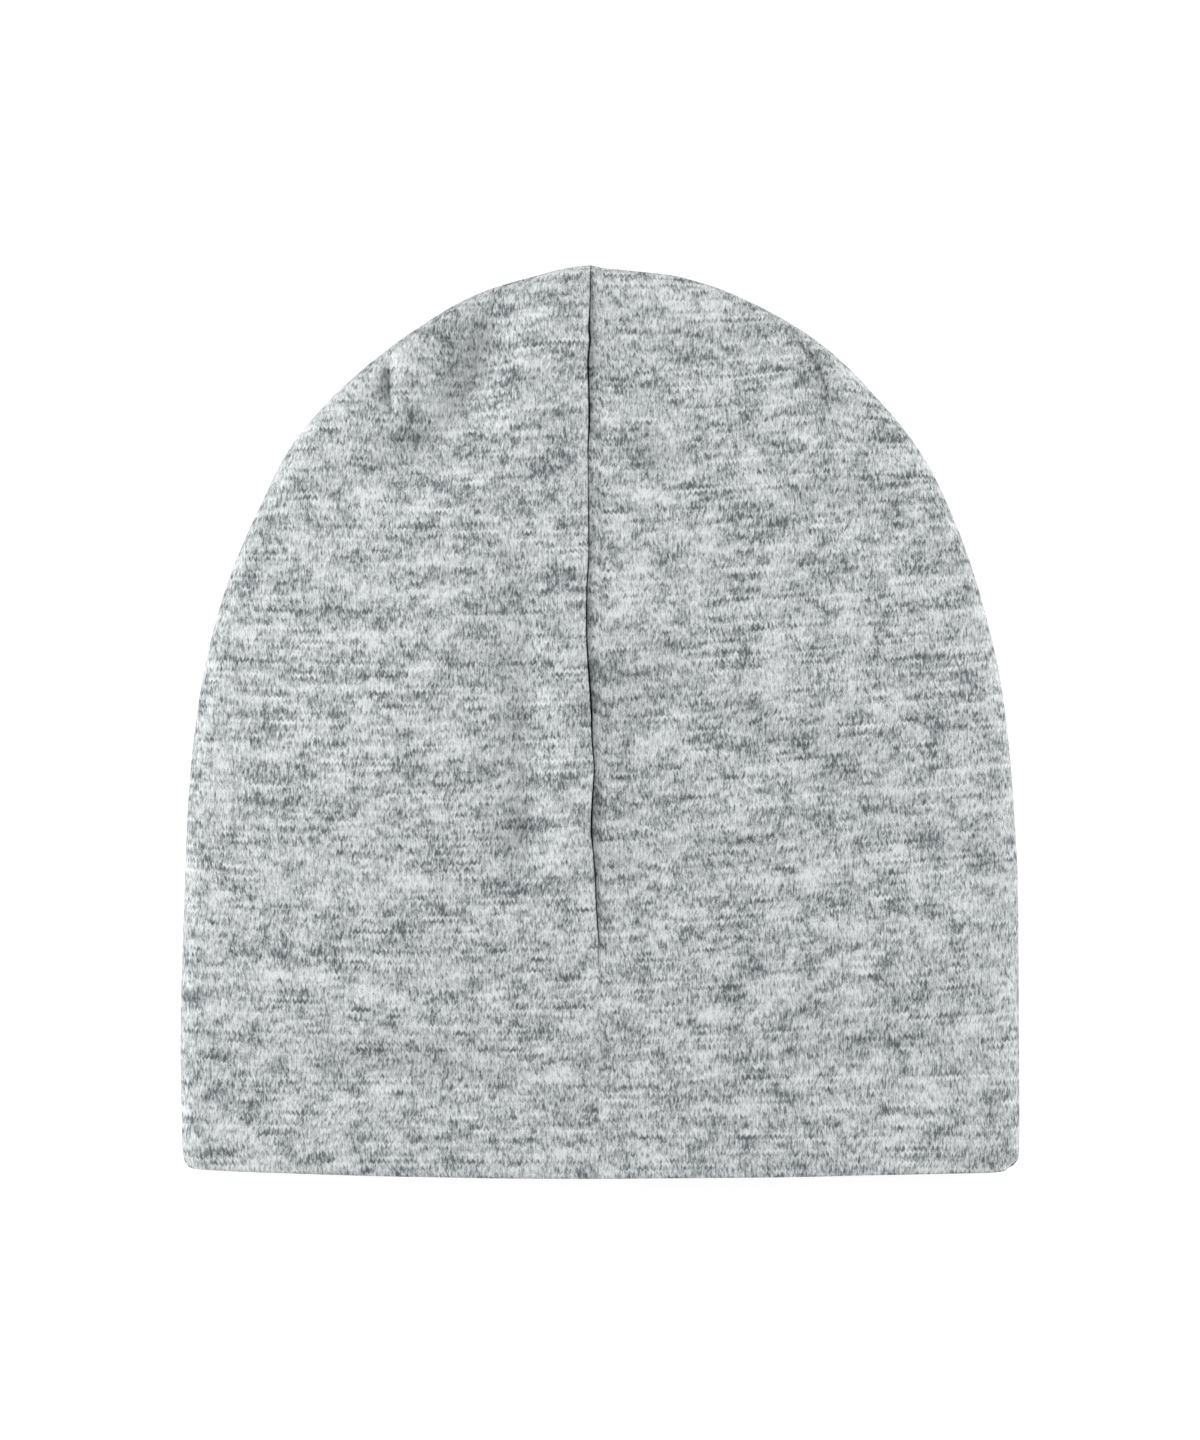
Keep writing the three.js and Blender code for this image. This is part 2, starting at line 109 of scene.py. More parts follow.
# Creases and dents of the front: along, across, half length, half width, turn in degrees, rise. Places are shares
# of the length and of half the width, and sizes are shares of half the width.
CREASES = [
    # the left shoulder: a bulge, the deep valley beside it that turns outwards below, and the tuck's pucker
    (0.861, -0.47, 0.14, 0.07, 66, 0.55), (0.9, -0.28, 0.16, 0.065, 76, -1.35),
    (0.868, -0.345, 0.15, 0.07, 58, -1.15), (0.79, -0.43, 0.15, 0.06, 24, -1.2),
    (0.862, -0.508, 0.075, 0.03, 86, -0.5), (0.865, -0.468, 0.06, 0.025, 84, 0.15),
    (0.9, -0.49, 0.1, 0.035, 52, 0.35), (0.85, -0.18, 0.16, 0.07, 84, 0.8), (0.95, -0.11, 0.1, 0.05, 84, 0.6),
    # the right shoulder: the dent round the tuck, the ridge outside it and the shallow valleys below
    (0.905, 0.47, 0.14, 0.07, -52, -0.3), (0.9, 0.55, 0.16, 0.04, -50, 0.75), (0.845, 0.535, 0.06, 0.05, -70, -0.45),
    (0.9, 0.22, 0.26, 0.12, -38, 0.2), (0.83, 0.78, 0.12, 0.05, -60, -0.3), (0.719, 0.6, 0.12, 0.07, -30, -0.65),
    (0.657, 0.82, 0.12, 0.07, -40, -0.6), (0.889, 0.235, 0.16, 0.08, -10, -0.9),
    (0.641, 0.235, 0.14, 0.07, -15, -0.5),
    # along the seam: the edge of the allowance, the pull beside the deepest ditch, and small puckers
    (0.5, -0.178, 0.34, 0.06, 89, -1.0), (0.37, -0.18, 0.1, 0.06, 70, -0.6), (0.52, 0.11, 0.16, 0.07, 38, -1.0),
    (0.475, 0.07, 0.1, 0.05, 60, 0.1), (0.44, 0.05, 0.2, 0.05, 88, -0.6), (0.31, 0.075, 0.12, 0.05, 88, -0.5),
    (0.843, 0.098, 0.05, 0.028, -62, -0.6), (0.773, 0.13, 0.1, 0.05, -12, -1.1), (0.81, 0.075, 0.06, 0.03, -40, 0.35),
    # the long slanting fold on the right and the one above the hem on the left
    (0.46, 0.42, 0.28, 0.085, -31, -0.9), (0.345, 0.78, 0.22, 0.08, -31, -0.6), (0.5, 0.6, 0.34, 0.1, -31, 0.35),
    (0.105, -0.44, 0.24, 0.065, -8, -0.65), (0.155, -0.44, 0.3, 0.08, -8, 0.3),
    # long soft rolls over the body
    (0.42, 0.4, 0.5, 0.16, 70, 0.3), (0.5, 0.68, 0.4, 0.12, 78, -0.25), (0.4, -0.5, 0.45, 0.16, 100, 0.3),
]
# The sewn tucks at the shoulders, each a line of places in metres, a depth and a width. They are shallower at
# their ends.
TUCKS = [
    ([(0.0512, 0.1134), (0.0544, 0.1105), (0.0578, 0.1065), (0.0607, 0.1037), (0.0635, 0.0982), (0.0645, 0.0945)],
     0.0034, 0.001),
    ([(-0.0596, 0.1018), (-0.0602, 0.098), (-0.0602, 0.0937), (-0.0589, 0.0872)], 0.0044, 0.0014),
]
# Where the back touches the table: along, and across on either side.
TOUCHES = [(0.024, 0.8), (0.024, 0.18), (0.66, 0.74), (0.93, 0.1)]


def curve_through(x, y):
    """A smooth curve through the points, which rises and falls only where they do."""
    slope = np.diff(y) / np.diff(x)
    tangent = np.zeros(len(y))
    tangent[0], tangent[-1] = slope[0], slope[-1]
    for i in range(1, len(y) - 1):
        if slope[i - 1] * slope[i] > 0:
            tangent[i] = 2 * slope[i - 1] * slope[i] / (slope[i - 1] + slope[i])

    def at(value):
        value = np.clip(value, x[0], x[-1])
        i = np.clip(np.searchsorted(x, value, side="right") - 1, 0, len(x) - 2)
        span = x[i + 1] - x[i]
        s = (value - x[i]) / span
        return (y[i] * (1 + 2 * s) * (1 - s) ** 2 + tangent[i] * span * s * (1 - s) ** 2
                + y[i + 1] * s * s * (3 - 2 * s) + tangent[i + 1] * span * s * s * (s - 1))

    return at


CROWDING = 1.7  # how much closer together the rings stand towards the crown


# A ring is one row of places round a panel, from 0 at the hem to 1 at the crown point. A side is -1 on the left and
# 1 on the right.
def ring_of(along):
    return 1 - np.maximum(0, 1 - along) ** (1 / CROWDING)


def along_of(ring):
    return 1 - (1 - ring) ** CROWDING


def length_at(along):
    return -BODY_LENGTH / 2 + HEM_ROUND + (BODY_LENGTH - HEM_ROUND) * along


def along_at(y):
    return (y + BODY_LENGTH / 2 - HEM_ROUND) / (BODY_LENGTH - HEM_ROUND)


outline_share = {
    -1: curve_through(ring_of(OUTLINE[:, 0]), OUTLINE[:, 1]),
    1: curve_through(ring_of(OUTLINE[:, 0]), OUTLINE[:, 2]),
}
seam_across = curve_through(SEAM[:, 0], SEAM[:, 1])
ditch_share = curve_through(SEAM[:, 0], SEAM[:, 2])
opening_share = curve_through(SEAM[:, 0], SEAM[:, 3])
allowance_share = curve_through(SEAM[:, 0], SEAM[:, 4])
fill_share = curve_through(FILL[:, 0], FILL[:, 1])


def seam_x(y):
    return HALF_WIDTH * seam_across(along_at(y))


def outline_points(side, ring):
    return np.stack([side * HALF_WIDTH * outline_share[side](ring), length_at(along_of(ring))], axis=-1)


OUTLINE_STEPS = 220
outline_rings = np.linspace(0, 1, OUTLINE_STEPS + 1)
outline_runs = [outline_points(side, outline_rings) for side in (-1, 1)]
run_start = np.concatenate([run[:-1] for run in outline_runs])
run_span = np.concatenate([np.diff(run, axis=0) for run in outline_runs])
run_out = np.concatenate([
    np.stack([side * np.diff(run[:, 1]), -side * np.diff(run[:, 0])], axis=1)
    for side, run in zip((-1, 1), outline_runs)
])
run_out /= np.linalg.norm(run_out, axis=1, keepdims=True)


def edge_distance(x, y):
    """How far each place is inside the silhouette, and the outward direction there."""
    shape = x.shape
    place = np.stack([x.ravel(), y.ravel()], axis=1)
    depth, out = np.empty(len(place)), np.empty((len(place), 2))
    batch = 4000
    for i in range(0, len(place), batch):
        off = place[i:i + batch, None] - run_start
        s = np.clip((off * run_span).sum(axis=2) / (run_span ** 2).sum(axis=1), 0, 1)
        gap = np.linalg.norm(off - s[..., None] * run_span, axis=2)
        nearest = gap.argmin(axis=1)
        depth[i:i + batch] = gap[np.arange(len(gap)), nearest]
        out[i:i + batch] = run_out[nearest]
    return depth.reshape(shape), out.reshape(shape + (2,))


def crease_rise(x, y):
    """The rise of all creases, dents and tucks at each place."""
    rise = np.zeros_like(x)
    for along, across, long, wide, turn, height in CREASES:
        turn = math.radians(turn)
        dx = x / HALF_WIDTH - across
        dy = (along_at(y) - along) * BODY_LENGTH / HALF_WIDTH
        lengthwise = (dx * math.cos(turn) + dy * math.sin(turn)) / long
        crosswise = (dy * math.cos(turn) - dx * math.sin(turn)) / wide
        rise += height * np.exp(-lengthwise ** 2 - crosswise ** 2)
    rise *= FOLD_RISE
    for line, depth, width in TUCKS:
        line = np.array(line)
        start, span = line[:-1], np.diff(line, axis=0)
        off = np.stack([x, y], axis=-1)[..., None, :] - start
        s = (off * span).sum(axis=-1) / (span ** 2).sum(axis=1)
        gap = np.linalg.norm(off - np.clip(s, 0, 1)[..., None] * span, axis=-1)
        nearest = gap.argmin(axis=-1)
        gap = gap.min(axis=-1)
        s = np.take_along_axis(s, nearest[..., None], axis=-1)[..., 0]
        along_line = (nearest + np.clip(s, 0, 1)) / len(span)
        depth = depth * np.sin(math.pi * (TUCK_ARCH[0] + TUCK_ARCH[1] * along_line))
        rise -= depth * np.exp(-np.hypot(gap, TUCK_ROUND) / width)
    return rise


# The soft waves that handling leaves in the cloth, in every direction and mostly long.
WAVES = 60
WAVE_RISE = 0.003
SHORTEST_WAVE, LONGEST_WAVE = 0.016, 0.075
chance = np.random.default_rng(11)
wave_length = chance.uniform(SHORTEST_WAVE, LONGEST_WAVE, WAVES)
wave_turn = chance.uniform(0, math.pi, WAVES)
wave_start = chance.uniform(0, 2 * math.pi, WAVES)


def soft_waves(x, y):
    total = np.zeros_like(x)
    for length, turn, start in zip(wave_length, wave_turn, wave_start):
        total += length ** 1.3 * np.sin(
            2 * math.pi * (x * math.cos(turn) + y * math.sin(turn)) / length + start)
    return WAVE_RISE * total


def smoothstep(value, low, high):
    s = np.clip((value - low) / (high - low), 0, 1)
    return s * s * (3 - 2 * s)


def seam_relief(face, layer, x, y):
    """How far the cloth is lifted by the allowance and let down by the seam, on its outward side."""
    along = along_at(y)
    off = x - seam_x(y)
    if layer == "inside":
        return -SEAM_SINK * ditch_share(along) * np.exp(-(off / SEAM_SINK_WIDTH) ** 2) * (face == "front")
    if face == "back":
        return -BACK_DITCH_DEPTH * np.maximum(0, 1 - (off / BACK_DITCH_WIDTH) ** 2) ** 2
    lip = np.where(off < 0, LEFT_LIP, RIGHT_LIP + RIGHT_OPENING * opening_share(along))
    near = np.clip(1 - np.abs(off) / lip, 0, 1)
    rolled = 1 - np.sqrt(np.maximum(0, 1 - near ** 2))
    beside = DITCH_SIDE_DEPTH * np.exp(-(off / DITCH_SIDE_WIDTH) ** 2)
    edge = smoothstep(-off, 0, ALLOWANCE_ROLL)
    end = 1 - smoothstep(-off / ALLOWANCE_WIDTH, *ALLOWANCE_END)
    lift = ALLOWANCE_RISE * allowance_share(along) * edge * end
    return lift - ditch_share(along) * (DITCH_DEPTH * rolled + beside)


def back_clearance(x, y):
    """How far the back is clear of the table at each place."""
    touch = np.zeros_like(x)
    for along, across in TOUCHES:
        dx = np.abs(x) - across * HALF_WIDTH
        dy = (along_at(y) - along) * BODY_LENGTH
        touch = np.maximum(touch, np.maximum(0, 1 - (dx ** 2 + dy ** 2) / (TOUCH_WIDTH / 2) ** 2) ** 2)
    return BACK_CLEARANCE * (1 - touch)


# How the courses climb as the cloth lies: a slope on the right that sets in past the seam, and a bow on the left.
RIGHT_CLIMB, CLIMB_START = 0.078, 0.012
LEFT_BOW, LEFT_BOW_PLACE = 0.5, -0.06
LEVEL_HEM = 0.28  # share of the length in which they turn from level at the hem
CROWN_EASE, CROWN_STRETCH = 0.6, (0.75, 0.95)  # how much less they climb at the crown, and from where to where
# Where they climb more steeply or less than around: place, half width and length, and slope.
COURSE_BENDS = [
    (-0.02, 0.0975, 0.018, 0.02, 0.1), (-0.066, 0.0746, 0.018, 0.015, -0.15), (0.0715, 0.0975, 0.02, 0.02, -0.24),
]


def course_rise(x, y):
    """How far the courses have climbed at each place, as the cloth lies: upwards to the right of the seam, and on
    the left outwards first downwards and then up again. At the hem they run level."""
    along = along_at(y)
    held = smoothstep(along, 0, LEVEL_HEM) * (1 - CROWN_EASE * smoothstep(along, *CROWN_STRETCH))
    right = RIGHT_CLIMB * (np.sqrt(x ** 2 + CLIMB_START ** 2) - CLIMB_START)
    rise = np.where(x > 0, right, LEFT_BOW * (x - LEFT_BOW_PLACE) ** 2) * held
    for place_x, place_y, width, length, slope in COURSE_BENDS:
        dx, dy = x - place_x, y - place_y
        rise = rise + slope * dx * np.exp(-(dx / width) ** 2 - (dy / length) ** 2)
    return rise


# Columns of each face: distances from the seam, steps from there to the fold, and steps in the fold.
STATIONS = {
    "front": ((0, 0.00012, 0.0003, 0.0005, 0.00075, 0.001, 0.0013, 0.00165, 0.0021, 0.0027, 0.0035, 0.0045, 0.0057),
              100, 12),
    "back": ((0, 0.0005, 0.0011, 0.0018, 0.0027, 0.004), 24, 9),
}
# How much closer together the columns stand round the tucks, and where that is on the way to the fold.
TUCK_CROWDING, TUCK_PLACE, TUCK_SPREAD = 1.8, 0.84, 0.12


def stations_across(face, half_width, lean):
    """Shares of the way from the seam to the outline, one row for each ring: close together at the seam, at the
    tucks and in the fold."""
    near, steps, folds = STATIONS[face]
    shrink = np.minimum(1, half_width / (HALF_WIDTH / 2))[:, None]
    near = np.array(near) * shrink
    turn = np.pi / 2 * (1 - np.arange(1, folds + 1) / folds)
    fold = half_width[:, None] - FOLD_RADIUS * (1 - np.cos(turn)) * shrink / np.maximum(lean, 0.4)[:, None]
    places = np.linspace(0, 1, 401)
    tucks = TUCK_CROWDING * np.exp(-((places - TUCK_PLACE) / TUCK_SPREAD) ** 2) * (face == "front")
    steps_so_far = np.cumsum(1 + tucks)
    steps_so_far = (steps_so_far - steps_so_far[0]) / (steps_so_far[-1] - steps_so_far[0])
    part = np.interp(np.arange(1, steps + 1) / (steps + 1), steps_so_far, places)
    between = near[:, -1:] + (fold[:, :1] - near[:, -1:]) * part
    return np.concatenate([near, between, fold], axis=1) / half_width[:, None]


WAVE_FREE_EDGE, WAVE_EDGE = 0.002, 0.03  # how far inside the silhouette the soft waves start and are full
CLOTH_TURN = 0.5  # the most that the line may slant about which the back's cloth mirrors the front's


def panel_layer(side, layer, rings):
    """Points and cloth coordinates of one ply's face, a row for each ring from the front seam to the back seam, and
    the column of the side fold. The cloth has one more column: the fold again, as the back goes on from it."""
    edge = outline_points(side, rings)
    step = 0.004
    ahead, behind = np.minimum(1, rings + step), np.maximum(0, rings - step)
    forward = outline_points(side, ahead) - outline_points(side, behind)
    forward /= np.linalg.norm(forward, axis=1, keepdims=True)
    out = np.stack([side * forward[:, 1], -side * forward[:, 0]], axis=1)
    half_width = np.abs(edge[:, 0] - seam_x(edge[:, 1]))
    inside = layer == "inside"
    reach = length_at(along_of(rings)) - (CROWN_WALL * along_of(rings) if inside else 0)
    if inside:
        edge = edge - WALL * out
    radius = FOLD_INSIDE_RADIUS if inside else FOLD_RADIUS
    points, cloth = [], []
    for face in ("front", "back"):
        share = stations_across(face, half_width, np.abs(out[:, 0]))
        if face == "front":
            start_x = seam_x(reach) + side * (SEAM_GAP + DITCH_GAP * ditch_share(along_at(reach))) / 2
        else:
            start_x = seam_x(reach) - BACK_SEAM_SHIFT + side * SEAM_GAP / 2
        x = start_x[:, None] + (edge[:, :1] - start_x[:, None]) * share
        y = reach[:, None] + (edge[:, 1:] - reach[:, None]) * share
        depth, edge_out = edge_distance(x, y)
        least = WALL if inside else 0
        depth = np.where(share >= 1, least, np.maximum(least, depth))
        lean = np.clip((FOLD_RADIUS - depth) / radius, 0, 1)
        across_fold = np.sqrt(np.maximum(0, 1 - lean ** 2))
        along = along_at(y)
        if face == "front":
            from_crown = np.minimum(1, (1 - along) * BODY_LENGTH / HALF_WIDTH)
            arch = from_crown * (2 - from_crown) * (1 - share ** 2)
            puff = (HOLLOW_HEIGHT - FOLD_HOLLOW) * fill_share(along) * arch
            rise = crease_rise(x, y) + soft_waves(x, y) * smoothstep(depth, WAVE_FREE_EDGE, WAVE_EDGE)
            z = FOLD_RADIUS + (radius + puff + rise) * across_fold
        else:
            z = FOLD_RADIUS - radius * across_fold
        z = z + seam_relief(face, layer, x, y) * across_fold * (1 if face == "front" else -1)
        if face == "back" and not inside:
            z = z + back_clearance(x, y) * across_fold
        set_back = HEM_SET_BACK[side] * np.abs(x / HALF_WIDTH) ** 2.5 * np.maximum(0, 1 - along / HEM_CORNER)
        points.append(np.stack([x, y + set_back, z], axis=-1))
        # The cloth's own place, with the length that the fold takes up: across from the centre, and along.
        turn = np.arcsin(np.clip((FOLD_RADIUS - depth) / FOLD_RADIUS, 0, 1))
        extra = FOLD_RADIUS * turn - np.maximum(0, FOLD_RADIUS - depth)
        u = x + edge_out[..., 0] * extra
        v = y + set_back + edge_out[..., 1] * extra - course_rise(x, y)
        if face == "back":
            turned = side * u[:, -1] + CLOTH_TURN * reach
            u = 2 * side * (np.maximum.accumulate(turned) - CLOTH_TURN * reach)[:, None] - u
        cloth.append(np.stack([u, v], axis=-1))
    front, back = points
    return (np.concatenate([front, back[:, -2::-1]], axis=1),
            np.concatenate([cloth[0], cloth[1][:, -2::-1], cloth[1][:, -1:]], axis=1), front.shape[1] - 1)


RINGS = 250
HEM_RINGS = (0, 0.002, 0.006, 0.012)  # the first rings, closer together
HEM_STEPS = 8
INSIDE_CLOTH_START = -0.5  # keeps the inside ply's cloth apart from the outside's


def make_panel(name, side, material, cloth_start):
    """One closed body of cloth: outside, turned over at the hem, inside, and the two sewn edges."""
    rings = np.concatenate([HEM_RINGS, np.arange(len(HEM_RINGS) + 1, RINGS) / RINGS])
    outer, outer_cloth, fold = panel_layer(side, "outside", rings)
    inner, inner_cloth, _ = panel_layer(side, "inside", rings)
    middle, half = (outer[0] + inner[0]) / 2, (outer[0] - inner[0]) / 2
    hem, hem_cloth = [], []
    for turn in np.pi * np.arange(1, HEM_STEPS) / HEM_STEPS:
        row = middle + half * math.cos(turn)
        row[:, 1] -= HEM_ROUND * math.sin(turn)
        hem.append(row)
        hem_cloth.append(outer_cloth[0] - [0, HEM_ROUND * turn])
    inner_cloth = inner_cloth + [0, INSIDE_CLOTH_START - 2 * (inner_cloth[0, 0, 1] + BODY_LENGTH / 2)]
    rows = np.concatenate([outer[::-1], hem, inner])
    cloth = np.concatenate([outer_cloth[::-1], hem_cloth, inner_cloth])
    count, width = rows.shape[:2]
    tips = []
    for y in (length_at(1), length_at(1) - CROWN_WALL):
        tips.append((seam_x(y) + side * SEAM_GAP / 2, y, FOLD_RADIUS))
    points = np.concatenate([rows.reshape(-1, 3), tips])
    places = np.concatenate([cloth.reshape(-1, 2), cloth[0, :1], cloth[-1, :1]])
    grid = np.arange(count * width).reshape(count, width)
    quads = np.stack([grid[:-1, :-1], grid[1:, :-1], grid[1:, 1:], grid[:-1, 1:]], axis=-1).reshape(-1, 4)
    faces = quads.tolist()
    outer_tip, inner_tip = count * width, count * width + 1
    for column in range(1, width):
        faces.append([outer_tip, int(grid[0, column - 1]), int(grid[0, column])])
        faces.append([inner_tip, int(grid[-1, column]), int(grid[-1, column - 1])])
    for column, turned in ((0, False), (width - 1, True)):
        strip = [[outer_tip, grid[0, column], grid[-1, column], inner_tip]]
        half_way = count // 2
        for row in range(1, half_way):
            strip.append([grid[row - 1, column], grid[row, column], grid[-1 - row, column], grid[-row, column]])
        if count % 2:
            strip.append([grid[half_way - 1, column], grid[half_way, column], grid[half_way + 1, column]])
        for face in strip:
            face = [int(i) for i in face]
            faces.append(face if turned else face[::-1])
    if side == -1:
        faces = [face[::-1] for face in faces]
    mesh = bpy.data.meshes.new(name)
    mesh.from_pydata(points.tolist(), [], faces)
    mesh.validate()
    corner = np.empty(len(mesh.loops), dtype=np.int32)
    mesh.loops.foreach_get("vertex_index", corner)
    row, column = corner // width, corner % width
    place = row * (width + 1) + column
    # The first faces of the back take the fold's cloth from the extra column.
    back_row, back_column, back_place = (
        values[:4 * len(quads)].reshape(count - 1, width - 1, 4)[:, fold] for values in (row, column, place))
    back_place[...] = np.where(back_column == fold, back_row * (width + 1) + width, back_place)
    cloth_map = mesh.uv_layers.new(name="cloth")
    cloth_map.data.foreach_set("uv", (places + cloth_start)[place].ravel().astype(np.float32))
    sewn_edges = 2 * (count // 2)
    smooth = np.ones(len(mesh.polygons), dtype=bool)
    smooth[-sewn_edges:] = False
    mesh.polygons.foreach_set("use_smooth", smooth)
    mesh.materials.append(material)
    mesh.update()
    panel = bpy.data.objects.new(name, mesh)
    scene.collection.objects.link(panel)
    return panel


def add_node(tree, kind, **values):
    """A node with its inputs set by name or number, from numbers or from other nodes' outputs."""
    node = tree.nodes.new(kind)
    for key, value in values.items():
        if key.startswith("in_"):
            socket = node.inputs[int(key[3:])] if key[3:].isdigit() else node.inputs[key[3:].replace("_", " ")]
            if isinstance(value, bpy.types.NodeSocket):
                tree.links.new(value, socket)
            else:
                socket.default_value = value
        else:
            setattr(node, key, value)
    return node


WALE, COURSE = 0.00127, 0.00096  # width and height of a stitch
V_HEIGHT = 0.8  # how far a stitch's legs rise from its middle to its sides, in courses
# How far the wales wander, in wales, and how often along the cloth, per metre.
WANDER, WANDER_SCALE = 2.0, 90
# Sizes of the marks in the yarn's colour, in metres across and along.
YARN_LENGTH = 0.045
STREAK_LENGTH = 0.008
PATCH_LENGTH, PATCH_WIDTH = 0.0105, 0.0078
CLOUD_LENGTH, CLOUD_WIDTH = 0.04, 0.0085
FIBRE_WIDTH, FIBRE_LENGTH = 0.00042, 0.0018
# Steps in the noise from each row or leg to the next, so that neighbours differ.
YARN_STEP, STREAK_STEP, LEG_STEP, LEG_ROW_STEP = 5.13, 7.37, 3.71, 0.44
# The colours from the darkest fibre to the lightest, and where they stand.
HEATHER = [
    (0.1, (96, 101, 103)), (0.3, (140, 145, 147)), (0.5, (180, 184, 185)), (0.68, (204, 208, 209)),
    (0.9, (224, 227, 228)),
]
STITCH_RELIEF = 0.00022
FIBRE_RELIEF = 0.5  # of the stitch's


def heather_jersey():
    """Plain jersey seen from its knit side: columns of V-shaped stitches in a yarn that is spun from white and
    grey fibres, so that it runs light and dark in streaks along the courses."""
    material = bpy.data.materials.new("heather_jersey")
    material.use_nodes = True
    tree = material.node_tree
    tree.nodes.clear()
    place = add_node(tree, "ShaderNodeUVMap", uv_map="cloth").outputs[0]
    split = add_node(tree, "ShaderNodeSeparateXYZ", in_0=place)
    u, v = split.outputs[0], split.outputs[1]

    def math_(operation, *terms):
        terms = {f"in_{i}": term for i, term in enumerate(terms)}
        return add_node(tree, "ShaderNodeMath", operation=operation, **terms).outputs[0]

    def noise(x, y, detail=0.0, rough=0.5):
        vector = add_node(tree, "ShaderNodeCombineXYZ", in_0=x, in_1=y).outputs[0]
        node = add_node(tree, "ShaderNodeTexNoise", noise_dimensions="2D", in_Vector=vector, in_Scale=1.0,
                        in_Detail=detail, in_Roughness=rough)
        return node.outputs[0]

    # Stitches: two legs side by side in each wale, each leaning outwards as it rises. A wale is a column of them.
    wander = noise(math_("MULTIPLY", u, WANDER_SCALE), math_("MULTIPLY", v, WANDER_SCALE))
    wander = math_("MULTIPLY", math_("SUBTRACT", wander, 0.5), WANDER)
    wale = math_("ADD", math_("DIVIDE", u, WALE), wander)
    course = math_("DIVIDE", v, COURSE)
    from_middle = math_("MULTIPLY", math_("ABSOLUTE", math_("SUBTRACT", math_("FRACT", wale), 0.5)), 2)
    row = math_("SUBTRACT", course, math_("MULTIPLY", from_middle, V_HEIGHT))
    row_number = math_("FLOOR", row)
    leg_number = math_("FLOOR", math_("MULTIPLY", wale, 2))
    leg_round = math_("SINE", math_("MULTIPLY", from_middle, math.pi))
    row_round = math_("SINE", math_("MULTIPLY", math_("FRACT", row), math.pi))
    stitch = math_("MULTIPLY", math_("ADD", 0.4, math_("MULTIPLY", leg_round, 0.6)),
                   math_("ADD", 0.4, math_("MULTIPLY", row_round, 0.6)))
    # Painted shade in the grooves between the wales: darker towards each wale's edges.
    painted_shade_between_wales = math_("POWER", from_middle, 3.0)

    # The yarn's colour: streaks along each course, ragged patches of them, and the single legs and fibres. After them
    # comes painted shade: each stitch lighter on its rounded middle and darker at its edges, and darker in the
    # grooves between the wales.
    yarn = noise(math_("DIVIDE", u, YARN_LENGTH), math_("MULTIPLY", row_number, YARN_STEP), detail=2.0)
    streak = noise(math_("DIVIDE", u, STREAK_LENGTH), math_("MULTIPLY", row_number, STREAK_STEP), detail=3.0,
                   rough=0.6)
    patch = noise(math_("DIVIDE", u, PATCH_LENGTH), math_("DIVIDE", v, PATCH_WIDTH), detail=5.0, rough=0.8)
    cloud = noise(math_("DIVIDE", u, CLOUD_LENGTH), math_("DIVIDE", v, CLOUD_WIDTH), detail=1.0)
    leg = noise(math_("MULTIPLY", leg_number, LEG_STEP), math_("MULTIPLY", row, LEG_ROW_STEP), detail=1.0, rough=0.6)
    fibre = noise(math_("DIVIDE", u, FIBRE_WIDTH), math_("DIVIDE", v, FIBRE_LENGTH), detail=1.0, rough=0.6)
    shade = 0.5
    for part, weight in ((yarn, 0.55), (streak, 0.72), (patch, 1.3), (cloud, 0.15), (leg, 0.85), (fibre, 0.7)):
        shade = math_("ADD", shade, math_("MULTIPLY", math_("SUBTRACT", part, 0.5), weight))
    # Painted shade: lighter where each stitch's legs and rows bulge, darker at their edges and between the wales,
    # where shade falls. The same bulge also shapes the bump below.
    shade = math_("ADD", shade, math_("MULTIPLY", math_("SUBTRACT", stitch, 0.6), 0.1))
    shade = math_("SUBTRACT", shade, math_("MULTIPLY", math_("SUBTRACT", painted_shade_between_wales, 0.25), 0.1))
    ramp = add_node(tree, "ShaderNodeValToRGB", in_0=shade)
    elements = ramp.color_ramp.elements
    while len(elements) < len(HEATHER):
        elements.new(0.5)
    for element, (position, colour) in zip(elements, HEATHER):
        element.position = position
        element.color = [(c / 255) ** 2.2 for c in colour] + [1]

    relief = math_("ADD", stitch, math_("MULTIPLY", fibre, FIBRE_RELIEF))
    bump = add_node(tree, "ShaderNodeBump", in_Strength=0.7, in_Distance=STITCH_RELIEF, in_Height=relief)
    cloth = add_node(tree, "ShaderNodeBsdfPrincipled", in_Base_Color=ramp.outputs[0], in_Roughness=0.95,
                     in_Specular_IOR_Level=0.15, in_Sheen_Weight=0.06, in_Sheen_Roughness=0.45,
                     in_Normal=bump.outputs[0])
    out = tree.nodes.new("ShaderNodeOutputMaterial")
    tree.links.new(cloth.outputs[0], out.inputs[0])
    return material


# Where in the cloth each panel is cut, so that the streaks don't run on across the seam.
LEFT_CUT, RIGHT_CUT = (3.0, 1.37), (7.0, 2.11)

jersey = heather_jersey()
left_panel = make_panel("left_panel_cloth", -1, jersey, LEFT_CUT)
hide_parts("left_panel")
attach(left_panel, "root")


# The right panel: the same jersey and the same make, sewn to the left panel along the front and the back. Its
# courses climb a little to the right, as the cloth lies.
right_panel = make_panel("right_panel_cloth", 1, jersey, RIGHT_CUT)
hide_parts("right_panel")
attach(right_panel, "root")


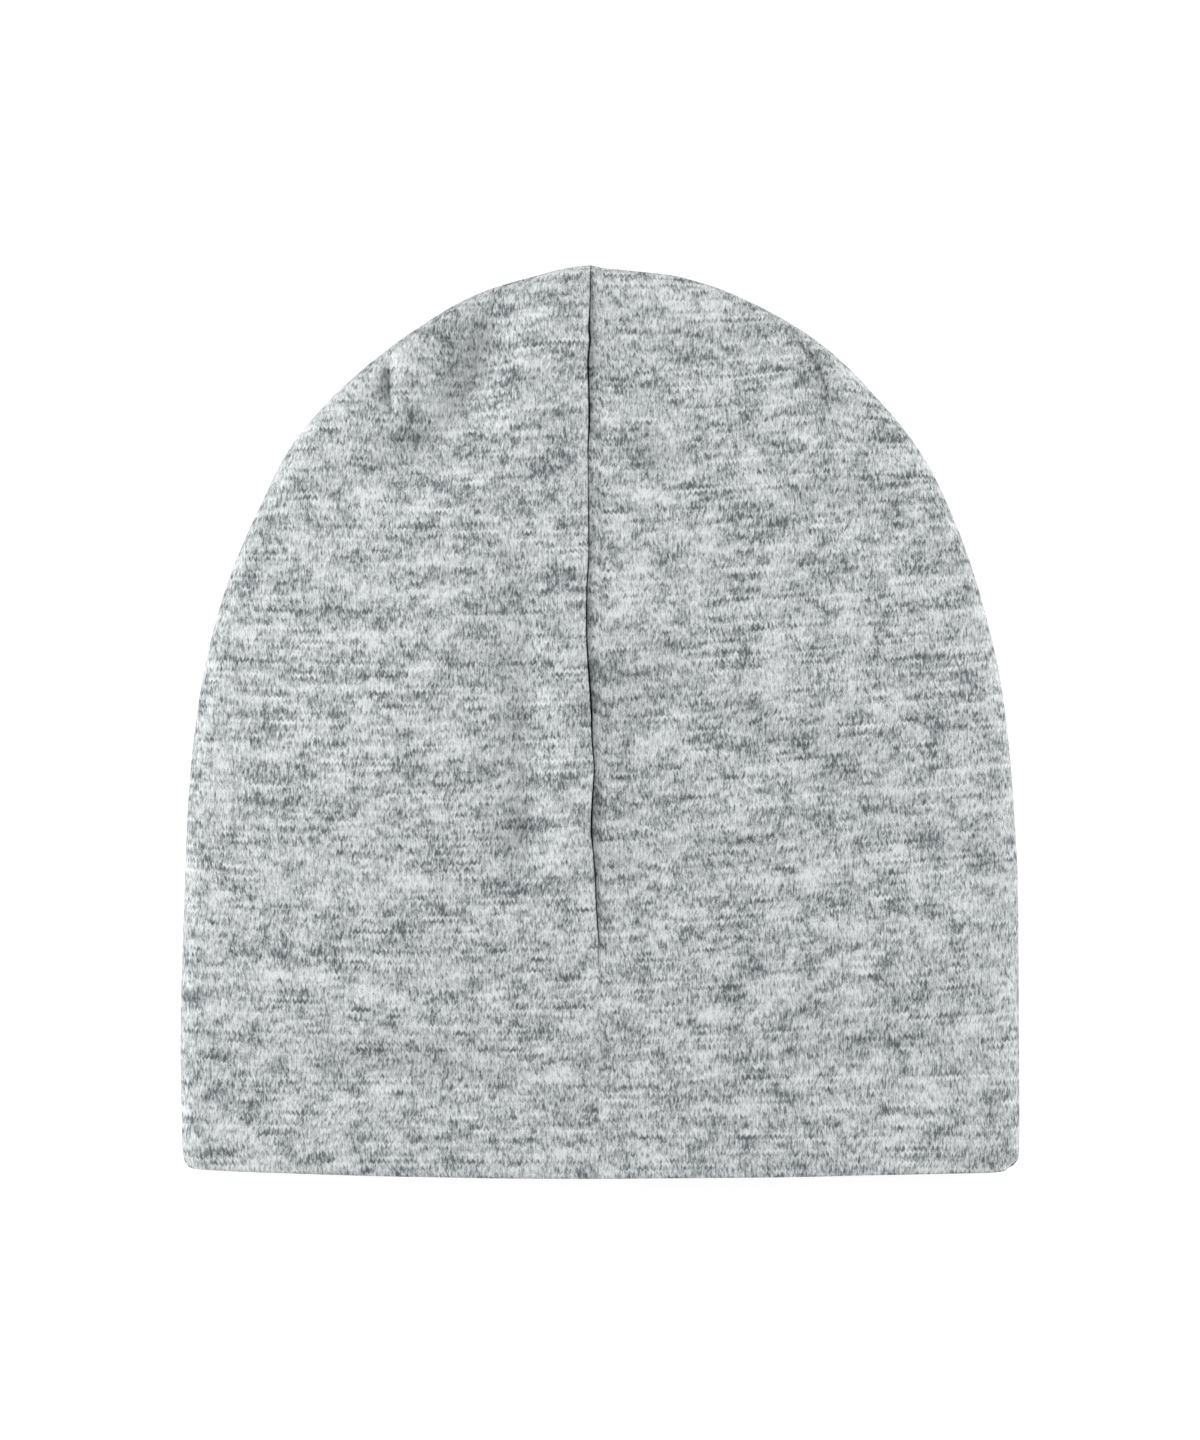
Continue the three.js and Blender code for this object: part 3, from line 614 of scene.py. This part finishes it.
# The table: a plain white top, lit from within so evenly that the beanie hardly throws a shadow on it. It reaches
# so far that it fills the picture in every view.
TABLE_REACH = 12
TABLE_COLOUR = (0.3, 0.3, 0.3, 1)
TABLE_GLOW = 0.82
table_mesh = bpy.data.meshes.new("table_top")
corners = [(x * TABLE_REACH, y * TABLE_REACH, 0) for x, y in ((-1, -1), (1, -1), (1, 1), (-1, 1))]
table_mesh.from_pydata(corners, [], [(0, 1, 2, 3)])
table_top = bpy.data.objects.new("table_top", table_mesh)
scene.collection.objects.link(table_top)
white = bpy.data.materials.new("white_table")
white.use_nodes = True
surface = white.node_tree.nodes["Principled BSDF"]
surface.inputs["Base Color"].default_value = TABLE_COLOUR
surface.inputs["Roughness"].default_value = 0.9
surface.inputs["Specular IOR Level"].default_value = 0.0
surface.inputs["Emission Color"].default_value = (1, 1, 1, 1)
surface.inputs["Emission Strength"].default_value = TABLE_GLOW
table_mesh.materials.append(white)


# The light: a white tent all round, and a large soft box low on each side, the left one slightly stronger, so that
# dents and the seam show without a shadow on the table.
TENT_STRENGTH = 0.66
BOX_WIDTH, BOX_HEIGHT = 0.7, 0.5
tent = bpy.data.worlds.new("tent")
tent.use_nodes = True
background = tent.node_tree.nodes["Background"]
background.inputs["Color"].default_value = (1, 1, 1, 1)
background.inputs["Strength"].default_value = TENT_STRENGTH
scene.world = tent
for name, place, energy in (("left_box", (-0.95, 0.1, 0.42), 7.0), ("right_box", (0.95, 0.35, 0.42), 6.0)):
    box = bpy.data.lights.new(name, "AREA")
    box.shape = "RECTANGLE"
    box.size, box.size_y = BOX_WIDTH, BOX_HEIGHT
    box.energy = energy
    box_object = bpy.data.objects.new(name, box)
    box_object.location = place
    box_object.rotation_euler = (-box_object.location).to_track_quat("-Z", "Y").to_euler()
    scene.collection.objects.link(box_object)
scene.view_settings.view_transform = "Standard"


# The camera looks straight down, as the photo does, with the crown at the top of the picture.
PICTURE_HEIGHT = 0.4121  # of what it shows at the height of the side folds
camera = bpy.data.cameras.new("camera")
camera.sensor_fit = "VERTICAL"
camera.sensor_height = 36
camera.lens = 85
camera_object = bpy.data.objects.new("camera", camera)
camera_object.location = (0, 0, FOLD_RADIUS + PICTURE_HEIGHT * camera.lens / camera.sensor_height)
scene.collection.objects.link(camera_object)
scene.camera = camera_object
